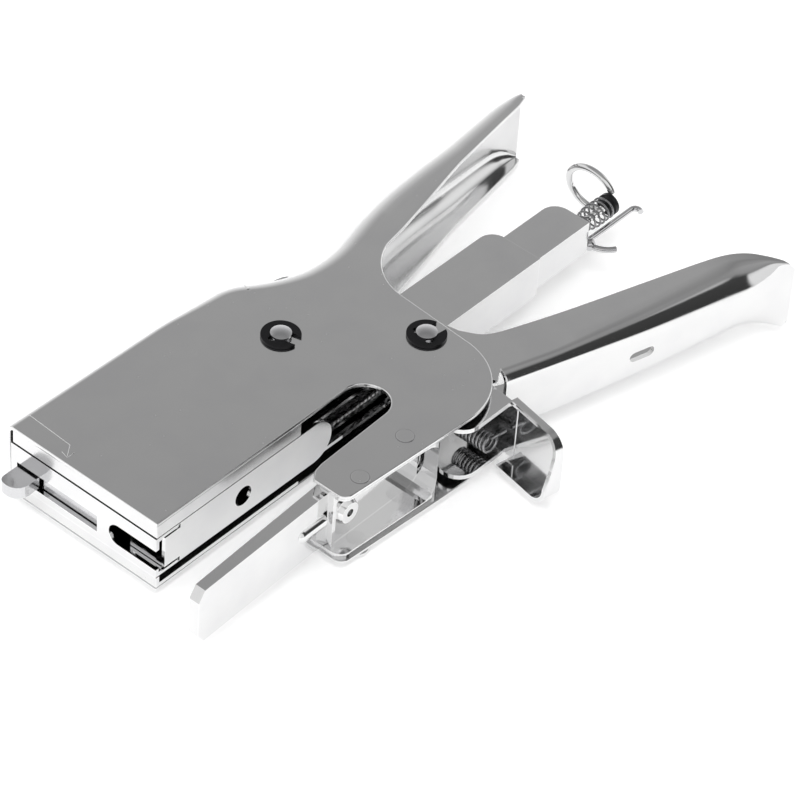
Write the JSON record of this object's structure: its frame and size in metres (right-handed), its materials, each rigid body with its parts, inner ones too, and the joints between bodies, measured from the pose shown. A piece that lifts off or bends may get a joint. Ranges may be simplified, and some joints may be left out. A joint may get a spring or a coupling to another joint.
{
  "type": "plier stapler",
  "caption": "All-metal plier stapler lying on its side: folded jaw casing, squeeze handle, tilting staple magazine, fixed anvil arm, wire pull ring and finger lever.",
  "frame": {"origin": "middle of the object's bounding box, at the level of the pin heads it rests on", "axes": "+X from the jaw towards the handles, +Y from the anvil towards the fixed upper handle, +Z out of the side plate with the clips"},
  "size_m": [0.2174, 0.111, 0.0283],
  "materials": {
    "nickel_plate": "polished nickel plate on folded sheet steel",
    "bright_plate": "bright nickel plate",
    "bare_steel": "ground and plated steel",
    "black_oxide": "black oxide",
    "spring_wire": "dark drawn spring wire"
  },
  "bodies": {
    "root": {"casing": "nickel_plate", "jaw_liner_upper": "nickel_plate", "jaw_liner_lower": "nickel_plate", "front_pin": "bare_steel", "rear_pin": "bare_steel", "e_clips": "black_oxide", "front_pin_sleeve": "bare_steel", "return_spring": "spring_wire", "side_rivets": "nickel_plate", "anvil_channel": "bright_plate", "anvil_bar": "bright_plate", "anvil_stud": "bright_plate", "lever_spring": "spring_wire"},
    "handle": {"lower_handle": "bright_plate", "hammer_plate_upper": "bare_steel", "hammer_plate_middle": "bare_steel", "hammer_plate_lower": "bare_steel", "hammer_rivets": "bare_steel", "hammer_spacers": "bare_steel"},
    "magazine": {"magazine_housing": "bright_plate", "nose_plate": "bright_plate", "magazine_base": "bright_plate", "staple_rail": "bright_plate", "staple_strip": "bare_steel", "latch_wire": "bare_steel", "feed_spring": "spring_wire"},
    "driver": {"driver_blade": "bare_steel"},
    "pusher": {"staple_pusher": "bare_steel", "pusher_rod": "bright_plate", "rod_spring": "spring_wire", "rod_collar": "black_oxide"},
    "lever": {"finger_lever": "bright_plate"}
  },
  "joints": [
    {"name": "handle_squeeze", "type": "hinge", "parent": "root", "child": "handle", "pos_m": [0.00513, -0.0007, 0.0138], "axis": [0, 0, 1], "range_deg": [0, 21], "stiffness_Nm_per_rad": 3, "springref_deg": -8.59, "deforming": ["return_spring"]},
    {"name": "magazine_tilt", "type": "hinge", "parent": "root", "child": "magazine", "pos_m": [0.00513, -0.0007, 0.0138], "axis": [0, 0, 1], "range_deg": [0, 9.8]},
    {"name": "driver_slide", "type": "slide", "parent": "magazine", "child": "driver", "axis": [0, -1, 0], "range_m": [0, 0.0198]},
    {"name": "pusher_pull", "type": "slide", "parent": "magazine", "child": "pusher", "axis": [1, 0, 0], "range_m": [0, 0.045], "stiffness_N_per_m": 60, "springref_m": -0.04, "deforming": ["feed_spring"]},
    {"name": "lever_press", "type": "hinge", "parent": "root", "child": "lever", "pos_m": [0.00513, -0.0007, 0.0138], "axis": [0, 0, 1], "range_deg": [-8, 0], "stiffness_Nm_per_rad": 0.6, "springref_deg": 11.46, "deforming": ["lever_spring"]}
  ],
  "couplings": [
    {"joint": "magazine_tilt", "follows": "handle_squeeze", "ratio": 0.46666},
    {"joint": "driver_slide", "follows": "handle_squeeze", "m_per_rad": 0.05402}
  ]
}
